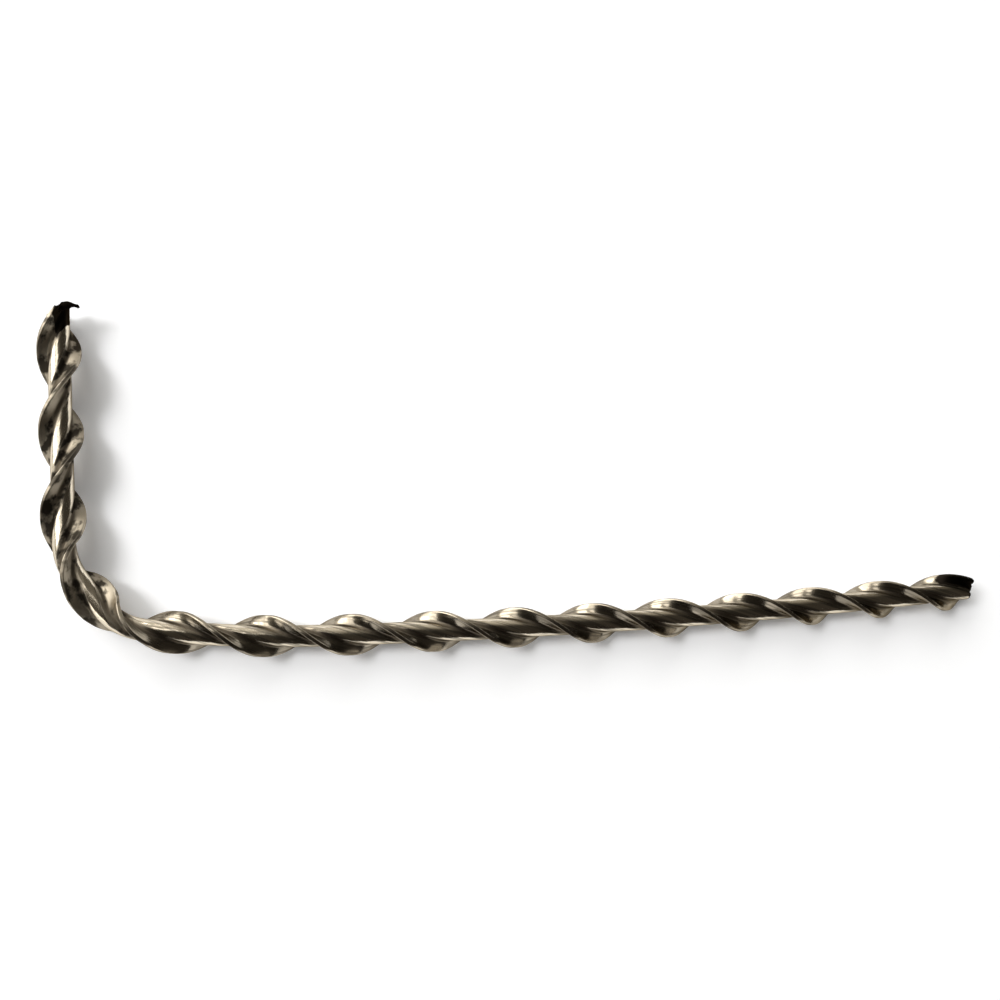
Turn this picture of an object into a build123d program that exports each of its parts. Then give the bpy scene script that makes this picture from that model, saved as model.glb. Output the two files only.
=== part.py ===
import os
from math import cos, degrees, pi, radians, sin, sqrt

from build123d import *

# Section of the bar: two thin fins opposite each other, and a rounded core that rises to a crest on each side.
# A reach is measured from the axis along the fins, a thickness right across the bar.
fin_circle = 6.0
fin_tip_thickness = 0.72
fin_root_reach = 1.38
fin_root_thickness = 1.06
core_foot_reach = 1.1
core_foot_thickness = 1.76
core_shoulder_reach = 0.9
core_shoulder_thickness = 2.52
core_top_reach = 0.48
core_top_thickness = 3.0
core_thickness = 3.14

# Twist: right-handed, the fins make one full turn in each pitch
twist_pitch = 24.26
fin_angle_at_start = 34.3

# Route of the axis seen from above, from the short leg's end to the long leg's end
short_leg_heading = -87.6
short_leg_length = 36.9
first_knuckle_radius = 9.4
first_knuckle_turn = 36.3
knuckle_gap = 5.3
second_knuckle_radius = 8.4
second_knuckle_turn = 42.9
run_out_radius = 202.0
run_out_turn = 7.2
long_leg_radius = 1332.0
long_leg_length = 107.5

# Cropped ends: how far each cut lies in from the end of the axis, its slant seen from above and its lean at the top
short_end_trim = 2.65
short_end_slant = 24.0
short_end_lean = 8.5
long_end_trim = 2.95
long_end_slant = -13.0
long_end_lean = 17.5

# Spacing of the points that lead the edge of a fin along the twist
guide_spacing = 2.0

UP = Vector(0, 0, 1)


def axis_route():
    """Centre line of the bar: two legs joined by a bend that turns at two knuckles."""
    heading = radians(short_leg_heading)
    with BuildLine() as route:
        short_leg = PolarLine((0, 0), short_leg_length, direction=(cos(heading), sin(heading)))
        first_knuckle = JernArc(short_leg @ 1, short_leg % 1, first_knuckle_radius, first_knuckle_turn)
        between = PolarLine(first_knuckle @ 1, knuckle_gap, direction=first_knuckle % 1)
        second_knuckle = JernArc(between @ 1, between % 1, second_knuckle_radius, second_knuckle_turn)
        run_out = JernArc(second_knuckle @ 1, second_knuckle % 1, run_out_radius, run_out_turn)
        long_leg_turn = degrees(long_leg_length / long_leg_radius)
        JernArc(run_out @ 1, run_out % 1, long_leg_radius, long_leg_turn)
    return route.wires()[0]


def across(tangent):
    """Level direction to the left of the axis."""
    return UP.cross(tangent)


def fin_direction(tangent, distance):
    """Direction from the axis to the first fin, at a distance along the axis."""
    angle = radians(fin_angle_at_start) + 2 * pi * distance / twist_pitch
    return across(tangent) * cos(angle) + UP * sin(angle)


def fin_guide(axis):
    """Helix along the edge of the first fin."""
    steps = round(axis.length / guide_spacing)
    edge_points = []
    for step in range(steps + 1):
        place = step / steps
        reach = fin_direction(axis.tangent_at(place), place * axis.length) * (fin_circle / 2)
        edge_points.append(axis.position_at(place) + reach)
    with BuildLine() as guide:
        Spline(*edge_points)
    return guide.wires()[0]


def section_points():
    """Outline of the section, fins along X, mirrored from its first quarter."""
    fin_tip_reach = sqrt(fin_circle**2 - fin_tip_thickness**2) / 2
    quarter = [
        (fin_tip_reach, fin_tip_thickness / 2),
        (fin_root_reach, fin_root_thickness / 2),
        (core_foot_reach, core_foot_thickness / 2),
        (core_shoulder_reach, core_shoulder_thickness / 2),
        (core_top_reach, core_top_thickness / 2),
    ]
    crest = (0, core_thickness / 2)
    top = quarter + [crest] + [(-x, y) for x, y in reversed(quarter)]
    return top + [(-x, -y) for x, y in top]


def cut_plane(axis, place, inward, slant, lean):
    """Plane across the axis that faces out of the bar, turned by the slant about the vertical and leaning back."""
    outward = axis.tangent_at(place) * (1 if place == 1 else -1)
    point = axis.position_at(place) - outward * inward
    level_facing = outward.rotate(Axis.Z, slant)
    return Plane(origin=point, z_dir=level_facing * cos(radians(lean)) + UP * sin(radians(lean)))


axis = axis_route()
start = Plane(origin=axis @ 0, x_dir=fin_direction(axis % 0, 0), z_dir=axis % 0)

with BuildPart() as helical_bar:
    with BuildSketch(start) as section:
        with BuildLine():
            Polyline(*section_points(), close=True)
        make_face()
    sweep(path=axis, binormal=fin_guide(axis))
    split(bisect_by=cut_plane(axis, 0, short_end_trim, short_end_slant, short_end_lean), keep=Keep.BOTTOM)
    split(bisect_by=cut_plane(axis, 1, long_end_trim, long_end_slant, long_end_lean), keep=Keep.BOTTOM)

box = helical_bar.part.bounding_box()
helical_bar.part.move(Location((-box.center().X, -box.center().Y, -box.min.Z)))

helical_bar.part.label = "helical_bar"
os.makedirs("parts", exist_ok=True)
export_step(helical_bar.part, "parts/helical_bar.step")
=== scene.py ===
"""Helical crack stitching bar lying on a white table, lit from the left and from beyond the bar."""
from math import atan2, cos, hypot, pi, radians, sin, tan

import bpy
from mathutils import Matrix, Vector, noise


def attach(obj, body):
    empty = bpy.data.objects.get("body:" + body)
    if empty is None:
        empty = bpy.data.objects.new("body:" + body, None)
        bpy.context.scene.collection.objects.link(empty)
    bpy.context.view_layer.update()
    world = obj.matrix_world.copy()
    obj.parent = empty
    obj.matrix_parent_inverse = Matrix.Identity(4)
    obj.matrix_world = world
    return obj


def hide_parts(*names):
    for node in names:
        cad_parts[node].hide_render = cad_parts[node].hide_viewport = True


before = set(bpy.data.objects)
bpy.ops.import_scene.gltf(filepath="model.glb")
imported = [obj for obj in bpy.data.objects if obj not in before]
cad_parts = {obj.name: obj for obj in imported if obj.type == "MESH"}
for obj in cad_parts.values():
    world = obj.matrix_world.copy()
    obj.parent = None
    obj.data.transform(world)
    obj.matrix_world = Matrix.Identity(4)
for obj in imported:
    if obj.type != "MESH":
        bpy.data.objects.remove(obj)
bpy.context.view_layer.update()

MM = 0.001

# ---------------------------------------------------------------- route of the axis, in millimetres
ROUTE_START = (-70.202, 28.404, 3.0)
ROUTE_HEADING = -87.6
# Length of each run, and its radius where it turns left
ROUTE_RUNS = (
    (36.9, None),
    (9.4 * radians(36.3), 9.4),
    (5.3, None),
    (8.4 * radians(42.9), 8.4),
    (202.0 * radians(7.2), 202.0),
    (107.5, 1332.0),
)
ROUTE_LENGTH = sum(length for length, _ in ROUTE_RUNS)

# ---------------------------------------------------------------- twist and section, in millimetres
TWIST_PITCH = 24.26
FIN_ANGLE_AT_START = radians(34.3)
# Corners of a quarter of the section: reach along the fins, half the thickness,
# radius of the corner and number of steps in its arc
SECTION_QUARTER = (
    (2.978, 0.36, 0.16, 3),
    (1.38, 0.53, 0.7, 4),
    (1.1, 0.88, 0.3, 3),
    (0.9, 1.26, 0.6, 4),
    (0.48, 1.5, 0.9, 3),
)
SECTION_CREST = (0.0, 1.57, 1.4, 3)
# Share of a side that the arc at its end may take, and length of the parts that a side is divided into
ARC_SHARE = 0.48
SIDE_SPACING = 0.27

RING_COUNT = 760
CAP_RINGS = 6

# ---------------------------------------------------------------- cropped ends, in millimetres
# How far each cut lies in from the end of the axis, its slant seen from above, its lean at the top,
# and how deep its edge is bitten, measured along the axis into the bar
SHORT_END_TRIM = 2.65
SHORT_END_SLANT = radians(24.0)
SHORT_END_LEAN = radians(8.5)
SHORT_END_BITE = 0.7
LONG_END_TRIM = 2.95
LONG_END_SLANT = radians(13.0)
LONG_END_LEAN = radians(17.5)
LONG_END_BITE = -0.6
# Rounds in which the place of a cut settles. Of so many parts of the bar, a cut bends the rings in one.
CUT_ROUNDS = 4
CUT_PARTS = 20

# Share of the bite that is there everywhere, and noise of two sizes that adds to it or takes from it
BITE_SHARE = 0.15
TEARS_PER_MM = 1.9
TEAR_WEIGHT = 0.8
CRUMBS_PER_MM = 5.0
CRUMB_WEIGHT = 0.5

# Torn lip that the shears left on the short end: centre and radius of each of its rings
BURR = (
    ((-69.3, 25.2, 5.0), 0.5),
    ((-68.9, 25.65, 5.0), 0.65),
    ((-68.3, 25.8, 4.9), 0.62),
    ((-67.85, 25.9, 4.8), 0.4),
    ((-67.45, 25.8, 4.75), 0.26),
    ((-67.1, 25.75, 4.7), 0.28),
    ((-66.9, 25.5, 4.6), 0.16),
)
BURR_SIDES = 12
BURR_FLATNESS = 0.7
BURR_DENTS = 0.35
BURR_DENTS_PER_MM = 2.5

# ---------------------------------------------------------------- wear, stains, painted shade and darkened ends, in millimetres
# Each pair says where a change starts and where it is complete.
# Brightness from the rolls on the crest and the fin's edge, and painted shade that darkens the fin's
# faces and most its root: height of the crest, reach of the fin's edge, distance from the fin's root
CREST_BRIGHTENS = (1.15, 1.45)
EDGE_BRIGHTENS = (2.8, 2.95)
EDGE_SHINE = 0.1
FIN_ROOT = (1.2, 0.75)
FACE_BRIGHTENS = (0.1, 0.6)
FACE_SHINE = 0.4

# Stains on the long leg, and what they gain along the axis towards the short end
LONG_LEG_GRIME = 0.35
ADDED_GRIME = 0.55
GRIME_GROWS = (62.0, 44.0)

# Black band down from the lip: a point on its middle line, the line's lean to +X for each
# millimetre of +Y, half its width, and how soft its edge is; then its changes along Y and up Z
BAND_THROUGH = (-69.95, 21.0)
BAND_LEAN = 0.27
BAND_HALF_WIDTH = 1.1
BAND_EDGE = 0.3
BAND_WIDENS = (20.3, 24.6)
BAND_DARKENS = (20.4, 22.0)
BAND_ON_TOP = (2.5, 3.5)

# Painted dark reflection, black on the back of the long end's last fin: distance from the cut, place
# along the fins and across them
PATCH_FROM_CUT = (6.4, 4.2)
PATCH_ALONG_FIN = (-0.8, -1.5)
PATCH_ACROSS_FIN = (0.45, 0.1)

# Distance from each cut in which the bar turns black
SHORT_CUT_BLACKENS = (1.0, 0.2)
LONG_CUT_BLACKENS = (1.4, 0.2)


def axis_at(distance):
    """Point and heading of the axis at a distance along it."""
    x, y, z = ROUTE_START
    heading = radians(ROUTE_HEADING)
    left = distance
    for index, (length, radius) in enumerate(ROUTE_RUNS):
        last = index == len(ROUTE_RUNS) - 1
        run = left if last or left < length else length
        if radius is None:
            x += run * cos(heading)
            y += run * sin(heading)
        else:
            turned = heading + run / radius
            x += radius * (sin(turned) - sin(heading))
            y -= radius * (cos(turned) - cos(heading))
            heading = turned
        left -= run
        if left <= 0:
            break
    return Vector((x, y, z)), heading


def fin_axes(distance):
    """Centre of the section at a distance along the axis, and three directions from there.

    They run along the fins, across the fins, and level to the left of the axis.
    """
    centre, heading = axis_at(distance)
    level = Vector((-sin(heading), cos(heading), 0))
    upright = Vector((0, 0, 1))
    angle = FIN_ANGLE_AT_START + 2 * pi * distance / TWIST_PITCH
    along = level * cos(angle) + upright * sin(angle)
    across = upright * cos(angle) - level * sin(angle)
    return centre, along, across, level


def rounded(corners):
    """Outline with each corner (x, y, radius, steps) turned into an arc."""
    outline = []
    count = len(corners)
    for index, (x, y, radius, steps) in enumerate(corners):
        here = Vector((x, y))
        before = Vector(corners[index - 1][:2]) - here
        after = Vector(corners[(index + 1) % count][:2]) - here
        reach = min(before.length, after.length) * ARC_SHARE
        half = before.angle(after) / 2
        tangent = min(radius / tan(half), reach)
        arc_radius = tangent * tan(half)
        first = here + before.normalized() * tangent
        last = here + after.normalized() * tangent
        inward = (before.normalized() + after.normalized()).normalized()
        middle = here + inward * (arc_radius / sin(half))
        start = atan2(first.y - middle.y, first.x - middle.x)
        turn = (atan2(last.y - middle.y, last.x - middle.x) - start + pi) % (2 * pi) - pi
        for step in range(steps + 1):
            angle = start + turn * step / steps
            arc_x = middle.x + arc_radius * cos(angle)
            arc_y = middle.y + arc_radius * sin(angle)
            outline.append(Vector((arc_x, arc_y)))
    return outline


def divided(outline, spacing):
    """Outline with its long straight sides divided."""
    result = []
    for index, point in enumerate(outline):
        following = outline[(index + 1) % len(outline)]
        parts = max(1, round((following - point).length / spacing))
        for part in range(parts):
            result.append(point.lerp(following, part / parts))
    return result


def section_outline():
    """Outline of the section, fins along x."""
    mirrored = [(-x, y, radius, steps) for x, y, radius, steps in reversed(SECTION_QUARTER)]
    top = [*SECTION_QUARTER, SECTION_CREST, *mirrored]
    bottom = [(-x, -y, radius, steps) for x, y, radius, steps in top]
    return divided(rounded(top + bottom), SIDE_SPACING)


def end_distance(point, nominal, slope, lean, bite):
    """Distance along the axis at which the bar's line through a point of the section meets the cut.

    The edge of the cut is eaten in there by up to the bite.
    """
    distance = nominal
    for _ in range(CUT_ROUNDS):
        _, along, across, level = fin_axes(distance)
        offset = along * point.x + across * point.y
        distance = nominal + offset.dot(level) * slope + offset.z * lean
    tear = noise.noise(Vector((point.x * TEARS_PER_MM, point.y * TEARS_PER_MM, nominal)))
    crumb = noise.noise(Vector((point.x * CRUMBS_PER_MM, point.y * CRUMBS_PER_MM, nominal)))
    eaten = BITE_SHARE + TEAR_WEIGHT * tear + CRUMB_WEIGHT * crumb
    return distance + bite * min(1.0, max(0.0, eaten))


def smooth(low, high, value):
    """0 at low, 1 at high, and a smooth change between."""
    share = min(1.0, max(0.0, (value - low) / (high - low)))
    return share * share * (3 - 2 * share)


def polish_and_painted_shade(point):
    """How bright the section is: rolled polish on the crest, and painted shade that darkens the faces
    of a fin and most its root.
    """
    crest = smooth(*CREST_BRIGHTENS, abs(point.y))
    edge = EDGE_SHINE * smooth(*EDGE_BRIGHTENS, abs(point.x))
    root_x, root_y = FIN_ROOT
    from_root = hypot(abs(point.x) - root_x, abs(point.y) - root_y)
    face = FACE_SHINE * smooth(*FACE_BRIGHTENS, from_root)
    return max(crest, face + edge)


def grime(distance):
    """How far stains cover the bar, more on the short leg than on the long leg."""
    return LONG_LEG_GRIME + ADDED_GRIME * smooth(*GRIME_GROWS, distance)


def darkened_ends(place, point, distance):
    """How dark the bar is near its cropped ends.

    The short end has a band down from the lip, the long end has the back of its last fin,
    which is a painted dark reflection, and both have the edge of the cut. The place is in the frame,
    the point in the section.
    """
    from_short = distance - SHORT_END_TRIM
    from_long = ROUTE_LENGTH - LONG_END_TRIM - distance
    through_x, through_y = BAND_THROUGH
    off_middle = abs(place.x - through_x - BAND_LEAN * (place.y - through_y))
    half_width = BAND_HALF_WIDTH * smooth(*BAND_WIDENS, place.y)
    band = smooth(BAND_EDGE, -BAND_EDGE, off_middle - half_width)
    band *= smooth(*BAND_ON_TOP, place.z) * smooth(*BAND_DARKENS, place.y)
    # Painted dark reflection on the back of the long end's last fin
    patch = smooth(*PATCH_FROM_CUT, from_long)
    patch *= smooth(*PATCH_ALONG_FIN, point.x) * smooth(*PATCH_ACROSS_FIN, point.y)
    cuts = max(smooth(*SHORT_CUT_BLACKENS, from_short), smooth(*LONG_CUT_BLACKENS, from_long))
    return max(band, patch, cuts)


def burr_mesh(vertices, distances, faces):
    """Adds the torn lip to the lists of the bar's mesh."""
    first = len(vertices)
    for index, (middle, radius) in enumerate(BURR):
        before = Vector(BURR[max(index - 1, 0)][0])
        after = Vector(BURR[min(index + 1, len(BURR) - 1)][0])
        forward = (after - before).normalized()
        side = forward.cross(Vector((0, 0, 1))).normalized()
        upward = side.cross(forward)
        for step in range(BURR_SIDES):
            angle = 2 * pi * step / BURR_SIDES
            spoke = side * cos(angle) + upward * sin(angle) * BURR_FLATNESS
            place = Vector(middle) + spoke * radius
            dent = min(0.0, noise.noise(place * BURR_DENTS_PER_MM))
            place += spoke * radius * BURR_DENTS * dent
            vertices.append(place * MM)
            distances.append(SHORT_END_TRIM)
    last = first + (len(BURR) - 1) * BURR_SIDES
    for ring_first in range(first, last, BURR_SIDES):
        for step in range(BURR_SIDES):
            a = ring_first + step
            b = ring_first + (step + 1) % BURR_SIDES
            faces.append((a, a + BURR_SIDES, b + BURR_SIDES, b))
    faces.append([first + step for step in range(BURR_SIDES)])
    faces.append([last + step for step in reversed(range(BURR_SIDES))])


def side_mesh(outline, vertices, distances, faces):
    """Adds the twisted side of the bar, in rings from the short end's cut to the long end's."""
    count = len(outline)
    long_end = ROUTE_LENGTH - LONG_END_TRIM
    short_slope = -tan(SHORT_END_SLANT)
    short_lean = tan(SHORT_END_LEAN) / cos(SHORT_END_SLANT)
    long_slope = tan(LONG_END_SLANT)
    long_lean = -tan(LONG_END_LEAN) / cos(LONG_END_SLANT)
    starts = [
        end_distance(point, SHORT_END_TRIM, short_slope, short_lean, SHORT_END_BITE)
        for point in outline
    ]
    ends = [
        end_distance(point, long_end, long_slope, long_lean, LONG_END_BITE)
        for point in outline
    ]
    for ring in range(RING_COUNT + 1):
        share = ring / RING_COUNT
        near_start = max(0.0, 1 - share * CUT_PARTS)
        near_end = max(0.0, 1 - (1 - share) * CUT_PARTS)
        plain = SHORT_END_TRIM + (long_end - SHORT_END_TRIM) * share
        for point, start, end in zip(outline, starts, ends):
            distance = plain
            distance += (start - SHORT_END_TRIM) * near_start**2 * (3 - 2 * near_start)
            distance += (end - long_end) * near_end**2 * (3 - 2 * near_end)
            centre, along, across, _ = fin_axes(distance)
            vertices.append((centre + along * point.x + across * point.y) * MM)
            distances.append(distance)
    for ring in range(RING_COUNT):
        a = ring * count
        b = a + count
        for index in range(count):
            following = (index + 1) % count
            faces.append((a + index, a + following, b + following, b + index))


def cap_mesh(first, count, flip, vertices, distances, faces):
    """Adds the face of a cut, in rings that shrink from the ring that starts at first to a point."""
    rim = list(range(first, first + count))
    centre = sum((vertices[i] for i in rim), Vector()) / count
    for cap in range(1, CAP_RINGS):
        share = 1 - cap / CAP_RINGS
        new_rim = []
        for i in range(count):
            new_rim.append(len(vertices))
            vertices.append(centre.lerp(vertices[first + i], share))
            distances.append(distances[first])
        for i in range(count):
            j = (i + 1) % count
            face = (rim[i], rim[j], new_rim[j], new_rim[i])
            faces.append(face[::-1] if flip else face)
        rim = new_rim
    middle = len(vertices)
    vertices.append(centre)
    distances.append(distances[first])
    for i in range(count):
        j = (i + 1) % count
        face = (rim[i], rim[j], middle)
        faces.append(face[::-1] if flip else face)


def bar_mesh():
    """Twisted bar with its cropped ends closed, and the values that its material reads."""
    outline = section_outline()
    count = len(outline)
    vertices = []
    distances = []
    faces = []
    side_mesh(outline, vertices, distances, faces)
    side_total = len(vertices)
    cap_mesh(0, count, True, vertices, distances, faces)
    cap_mesh(side_total - count, count, False, vertices, distances, faces)
    burr_mesh(vertices, distances, faces)
    mesh = bpy.data.meshes.new("helical_bar_steel")
    mesh.from_pydata(vertices, [], faces)

    # Rolled polish on the crest and fin edges, painted shade on the fin faces and roots
    outline_polish_and_shade = [polish_and_painted_shade(point) for point in outline]
    profile_values = []
    polish_with_painted_shade_values = []
    grime_values = []
    darkened_ends_values = []
    for index, distance in enumerate(distances):
        on_side = index < side_total
        point = outline[index % count] if on_side else Vector((0, 0))
        profile_values.extend((point.x, point.y, distance))
        polish_with_painted_shade_values.append(outline_polish_and_shade[index % count] if on_side else 0.0)
        grime_values.append(grime(distance))
        darkened_ends_values.append(darkened_ends(vertices[index] / MM, point, distance) if on_side else 1.0)
    for name, kind, field, values in (
        ("profile", "FLOAT_VECTOR", "vector", profile_values),
        ("polish_with_painted_shade", "FLOAT", "value", polish_with_painted_shade_values),
        ("grime", "FLOAT", "value", grime_values),
        ("darkened_ends", "FLOAT", "value", darkened_ends_values),
    ):
        mesh.attributes.new(name, kind, "POINT").data.foreach_set(field, values)
    mesh.update()
    mesh.polygons.foreach_set("use_smooth", [True] * len(mesh.polygons))
    return mesh


# ---------------------------------------------------------------- steel
BRIGHT_STEEL = (0.82, 0.73, 0.58)
# Colour of the fin roots, and partly of the faces: painted shade
DULL_STEEL_PAINTED_SHADE = (0.15, 0.125, 0.092)
STAIN_AND_PAINTED_DARK = (0.015, 0.012, 0.009)
GRAZING_TINT = (0.4, 0.37, 0.32, 1)


def steel_material():
    """Cold-rolled stainless steel, bright on the crest of the core, with painted shade that dulls the
    faces and roots of the fins.

    Blotches, rolled-in lines and black near the cropped ends darken it; on the long end's last fin that
    black is a painted dark reflection.
    """
    material = bpy.data.materials.new("stainless_steel_bright")
    material.use_nodes = True
    nodes = material.node_tree.nodes
    links = material.node_tree.links
    shader = nodes["Principled BSDF"]
    shader.inputs["Metallic"].default_value = 1.0
    shader.inputs["Specular Tint"].default_value = GRAZING_TINT

    def node(kind, **values):
        """New node with its own settings."""
        made = nodes.new(kind)
        for name, value in values.items():
            setattr(made, name, value)
        return made

    def speckle(stretch, detail):
        """Noise laid along the twist, with its own number of spots in each millimetre."""
        place = node("ShaderNodeVectorMath", operation="MULTIPLY")
        place.inputs[1].default_value = stretch
        links.new(profile.outputs["Vector"], place.inputs[0])
        texture = node("ShaderNodeTexNoise")
        texture.inputs["Scale"].default_value = 1.0
        texture.inputs["Detail"].default_value = detail
        links.new(place.outputs["Vector"], texture.inputs["Vector"])
        return texture.outputs["Fac"]

    def mapped(value, low, high, to_low, to_high):
        """Value carried from one range to another."""
        span = node("ShaderNodeMapRange")
        ends = {"From Min": low, "From Max": high, "To Min": to_low, "To Max": to_high}
        for name, number in ends.items():
            span.inputs[name].default_value = number
        links.new(value, span.inputs["Value"])
        return span.outputs["Result"]

    def blended(factor, first, second):
        """Colour between two others; each is a colour or a socket."""
        blend = node("ShaderNodeMix", data_type="RGBA")
        links.new(factor, blend.inputs["Factor"])
        for socket, colour in ((blend.inputs["A"], first), (blend.inputs["B"], second)):
            if isinstance(colour, tuple):
                socket.default_value = (*colour, 1)
            else:
                links.new(colour, socket)
        return blend.outputs["Result"]

    def combined(operation, first, second, third=None):
        """Sum, product or the like of sockets and numbers."""
        result = node("ShaderNodeMath", operation=operation)
        for socket, value in zip(result.inputs, (first, second, third)):
            if isinstance(value, float):
                socket.default_value = value
            elif value is not None:
                links.new(value, socket)
        return result.outputs["Value"]

    def bumped(height, strength, depth, over=None):
        """Surface raised by a height, which may lie over another such surface."""
        bump = node("ShaderNodeBump")
        bump.inputs["Strength"].default_value = strength
        bump.inputs["Distance"].default_value = depth
        links.new(height, bump.inputs["Height"])
        if over is not None:
            links.new(over, bump.inputs["Normal"])
        return bump.outputs["Normal"]

    profile = node("ShaderNodeAttribute", attribute_name="profile")
    polish_with_painted_shade = node("ShaderNodeAttribute", attribute_name="polish_with_painted_shade").outputs["Fac"]
    soiled = node("ShaderNodeAttribute", attribute_name="grime").outputs["Fac"]
    # Darkening near the cropped ends
    ends_darkening = node("ShaderNodeAttribute", attribute_name="darkened_ends").outputs["Fac"]

    streaks = speckle((5.0, 5.0, 0.5), 4.0)
    blotches = speckle((0.55, 0.55, 0.5), 3.0)
    patches = speckle((1.3, 1.3, 0.9), 3.0)
    grooves = speckle((2.2, 2.2, 0.07), 2.0)

    # Stains: spots off the crest and rolled-in lines on the long leg; black near the cuts; a painted
    # dark reflection on the back of the long end's last fin
    on_faces = combined("MULTIPLY", soiled, mapped(polish_with_painted_shade, 0.4, 0.9, 1.0, 0.1))
    spots = combined("MULTIPLY", mapped(blotches, 0.48, 0.58, 0.0, 1.0), on_faces)
    ragged = combined("ADD", ends_darkening, mapped(patches, 0.3, 0.7, -0.3, 0.3))
    # Black near the cropped ends, with ragged edges
    blackened = mapped(ragged, 0.4, 0.6, 0.0, 1.0)
    on_long_leg = mapped(soiled, 0.4, 0.8, 1.0, 0.0)
    lines = combined("MULTIPLY", mapped(grooves, 0.48, 0.6, 0.0, 0.55), on_long_leg)
    stains_and_painted_dark = combined("MAXIMUM", combined("MAXIMUM", spots, blackened), lines)

    # Painted shade: the fin faces and roots get darker steel than the crest
    polish_and_shade_colour = blended(polish_with_painted_shade, DULL_STEEL_PAINTED_SHADE, BRIGHT_STEEL)
    links.new(blended(stains_and_painted_dark, polish_and_shade_colour, STAIN_AND_PAINTED_DARK), shader.inputs["Base Color"])

    # Roughness: more in streaks and stains, on soiled faces off the crest, and in the roots
    worn = combined("MULTIPLY_ADD", stains_and_painted_dark, 0.15, mapped(streaks, 0.3, 0.7, 0.12, 0.2))
    by_grime = mapped(soiled, 0.4, 0.9, 0.0, 0.3)
    off_crest = mapped(polish_with_painted_shade, 0.4, 0.9, 1.0, 0.1)
    rough = combined("MULTIPLY_ADD", by_grime, off_crest, worn)
    in_root = mapped(polish_with_painted_shade, 0.0, 0.38, 0.22, 0.0)
    links.new(combined("ADD", rough, in_root), shader.inputs["Roughness"])

    uneven = bumped(blotches, 0.25, 0.06 * MM)
    links.new(bumped(streaks, 0.2, 0.02 * MM, over=uneven), shader.inputs["Normal"])
    return material


bar = bpy.data.objects.new("helical_bar_finished", bar_mesh())
bpy.context.scene.collection.objects.link(bar)
bar.data.materials.append(steel_material())
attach(bar, "root")
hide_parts("helical_bar")

# ---------------------------------------------------------------- table
TABLE_SIZE = 3.0
TABLE_COLOUR = (0.94, 0.955, 0.985, 1)
# The photo's table is blown out to white: a little plain light of its own lifts it there,
# also in reflections
TABLE_LIFT = 0.17

bpy.ops.mesh.primitive_plane_add(size=TABLE_SIZE, location=(0, 0, 0))
table = bpy.context.object
table.name = "table"
table_material = bpy.data.materials.new("table_white")
table_material.use_nodes = True
table_nodes = table_material.node_tree.nodes
table_links = table_material.node_tree.links
table_shader = table_nodes["Principled BSDF"]
table_shader.inputs["Base Color"].default_value = TABLE_COLOUR
table_shader.inputs["Roughness"].default_value = 0.9
table_shader.inputs["Specular IOR Level"].default_value = 0.1
table_shader.inputs["Emission Color"].default_value = (1, 1, 1, 1)
ray = table_nodes.new("ShaderNodeLightPath")
seen = ray.outputs["Is Camera Ray"]
for other_kind in ("Is Glossy Ray", "Is Transmission Ray"):
    either = table_nodes.new("ShaderNodeMath")
    either.operation = "MAXIMUM"
    table_links.new(seen, either.inputs[0])
    table_links.new(ray.outputs[other_kind], either.inputs[1])
    seen = either.outputs["Value"]
lift = table_nodes.new("ShaderNodeMath")
lift.operation = "MULTIPLY"
lift.inputs[1].default_value = TABLE_LIFT
table_links.new(seen, lift.inputs[0])
table_links.new(lift.outputs["Value"], table_shader.inputs["Emission Strength"])
table.data.materials.append(table_material)

# ---------------------------------------------------------------- light
LAMP_DISTANCE = 3.2


def direction(azimuth, elevation):
    """Direction from the object, azimuth anticlockwise from +X, in degrees."""
    level = cos(radians(elevation))
    x = level * cos(radians(azimuth))
    y = level * sin(radians(azimuth))
    return Vector((x, y, sin(radians(elevation))))


def lamp(name, towards, width, height, radiance, colour):
    """Elliptic lamp that faces the object, as bright as its radiance whatever its size."""
    data = bpy.data.lights.new(name, "AREA")
    data.shape = "ELLIPSE"
    data.size = width
    data.size_y = height
    data.energy = radiance * pi * width * height * pi / 4
    data.color = colour
    placed = bpy.data.objects.new(name, data)
    placed.location = towards * LAMP_DISTANCE
    placed.rotation_euler = towards.to_track_quat("Z", "Y").to_euler()
    bpy.context.scene.collection.objects.link(placed)
    return placed


# The key makes the shadow. In reflections it would be a bright spot that the photo doesn't have.
key = lamp("key", direction(166.0, 43.0), 1.0, 1.0, 21.0, (1.0, 0.99, 0.98))
key.visible_glossy = False
lamp("window", direction(126.0, 29.0), 3.2, 1.9, 4.0, (1.0, 0.99, 0.96))
lamp("side_window", direction(164.0, 38.0), 1.4, 2.8, 2.75, (1.0, 0.99, 0.97))
lamp("low_window", direction(206.0, 8.0), 1.6, 1.0, 1.75, (1.0, 0.97, 0.92))
lamp("skylight", direction(128.0, 67.0), 1.2, 1.0, 1.5, (1.0, 0.99, 0.97))
lamp("far_wall", direction(345.0, 14.0), 2.4, 1.8, 0.45, (1.0, 0.94, 0.84))

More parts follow.
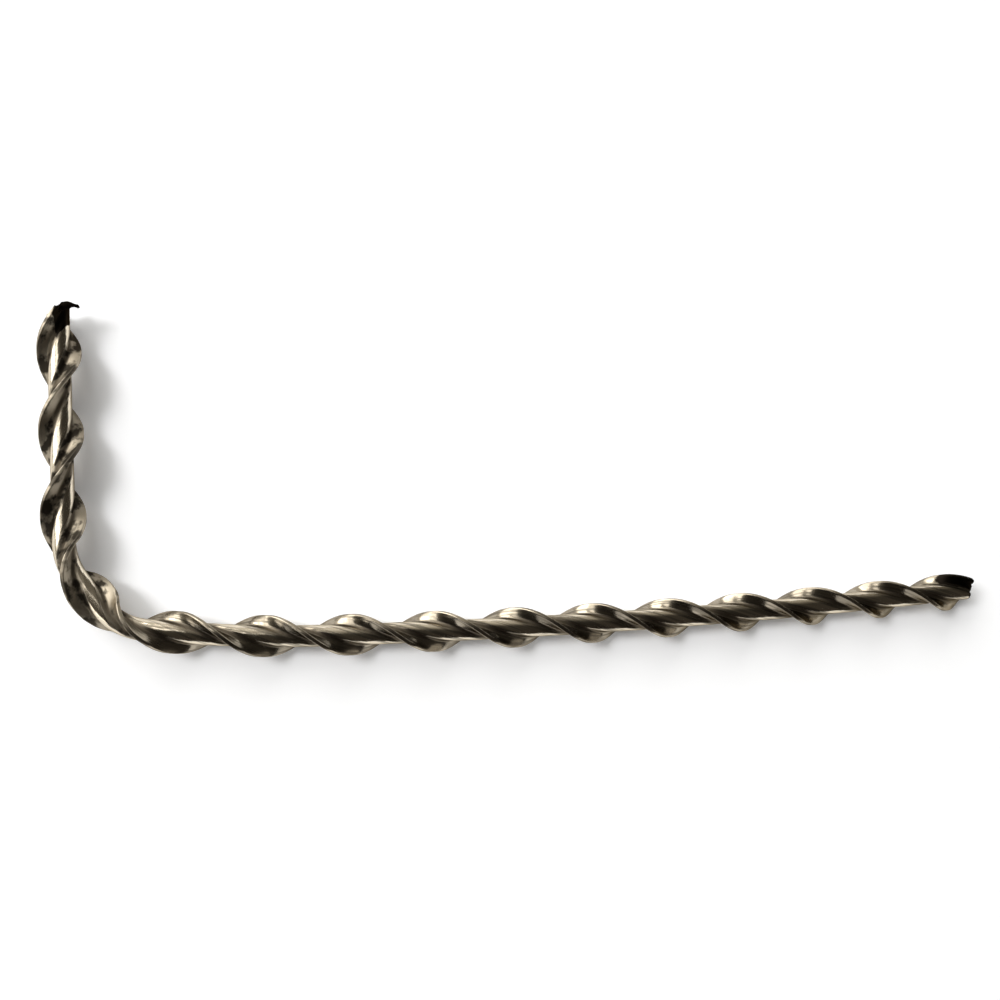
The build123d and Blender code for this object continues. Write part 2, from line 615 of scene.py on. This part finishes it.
# Room: brightest beyond the bar on the left, dark where the photographer stands.
# Its colours run from the side opposite the brightest direction, at 0, to that direction, at 1.
ROOM_BRIGHT_TOWARDS = direction(125.0, 5.0)
ROOM_STRENGTH = 0.5
ROOM_RAMP = (
    (0.0, (0.07, 0.06, 0.05)),
    (0.57, (0.07, 0.063, 0.052)),
    (0.65, (0.2, 0.18, 0.15)),
    (0.76, (0.7, 0.66, 0.58)),
    (0.86, (1.2, 1.15, 1.05)),
    (1.0, (1.5, 1.45, 1.35)),
)

world = bpy.data.worlds.new("room")
bpy.context.scene.world = world
world.use_nodes = True
room_nodes = world.node_tree.nodes
room_links = world.node_tree.links
background = room_nodes["Background"]
background.inputs["Strength"].default_value = ROOM_STRENGTH
coordinates = room_nodes.new("ShaderNodeTexCoord")
facing = room_nodes.new("ShaderNodeVectorMath")
facing.operation = "DOT_PRODUCT"
facing.inputs[1].default_value = ROOM_BRIGHT_TOWARDS
room_links.new(coordinates.outputs["Generated"], facing.inputs[0])
spread = room_nodes.new("ShaderNodeMapRange")
spread.inputs["From Min"].default_value = -1.0
room_links.new(facing.outputs["Value"], spread.inputs["Value"])
ramp = room_nodes.new("ShaderNodeValToRGB")
ramp.color_ramp.interpolation = "EASE"
stops = ramp.color_ramp.elements
stops.remove(stops[1])
stops[0].position = ROOM_RAMP[0][0]
stops[0].color = (*ROOM_RAMP[0][1], 1)
for position, colour in ROOM_RAMP[1:]:
    stops.new(position).color = (*colour, 1)
room_links.new(spread.outputs["Result"], ramp.inputs["Fac"])
room_links.new(ramp.outputs["Color"], background.inputs["Color"])

# ---------------------------------------------------------------- camera
camera_data = bpy.data.cameras.new("photo_camera")
camera_data.sensor_width = 36.0
camera_data.lens = 34.92
camera_data.clip_start = 0.01
camera = bpy.data.objects.new("photo_camera", camera_data)
camera.location = (-0.036267, -0.03173, 0.145772)
camera.rotation_euler = (radians(11.476), radians(-11.109), radians(-3.753))
bpy.context.scene.collection.objects.link(camera)
bpy.context.scene.camera = camera

bpy.context.scene.view_settings.view_transform = "Standard"
